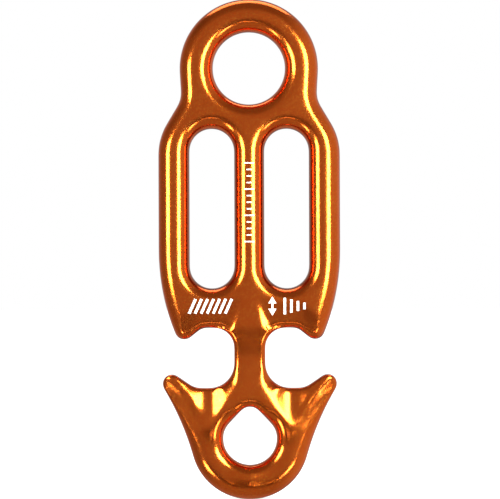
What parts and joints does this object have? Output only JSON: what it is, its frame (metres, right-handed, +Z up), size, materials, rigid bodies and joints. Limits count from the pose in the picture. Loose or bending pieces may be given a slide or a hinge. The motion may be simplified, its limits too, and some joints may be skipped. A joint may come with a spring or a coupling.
{
  "type": "belay descender",
  "caption": "Forged aluminium belay descender: an upper ring, rope slots in a waisted plate, side notches under lobes, and an anchor-shaped head with a lower eye.",
  "frame": {"origin": "middle of the upper ring's hole, half way through the plate", "axes": "+Z up, from the head to the ring; +X to the right as seen from the front; the front face looks to -Y"},
  "size_m": [0.0528, 0.012, 0.1453],
  "materials": {
    "anodised": "satin",
    "ink": "matte"
  },
  "bodies": {
    "root": {"forged_body": "anodised"}
  },
  "joints": []
}
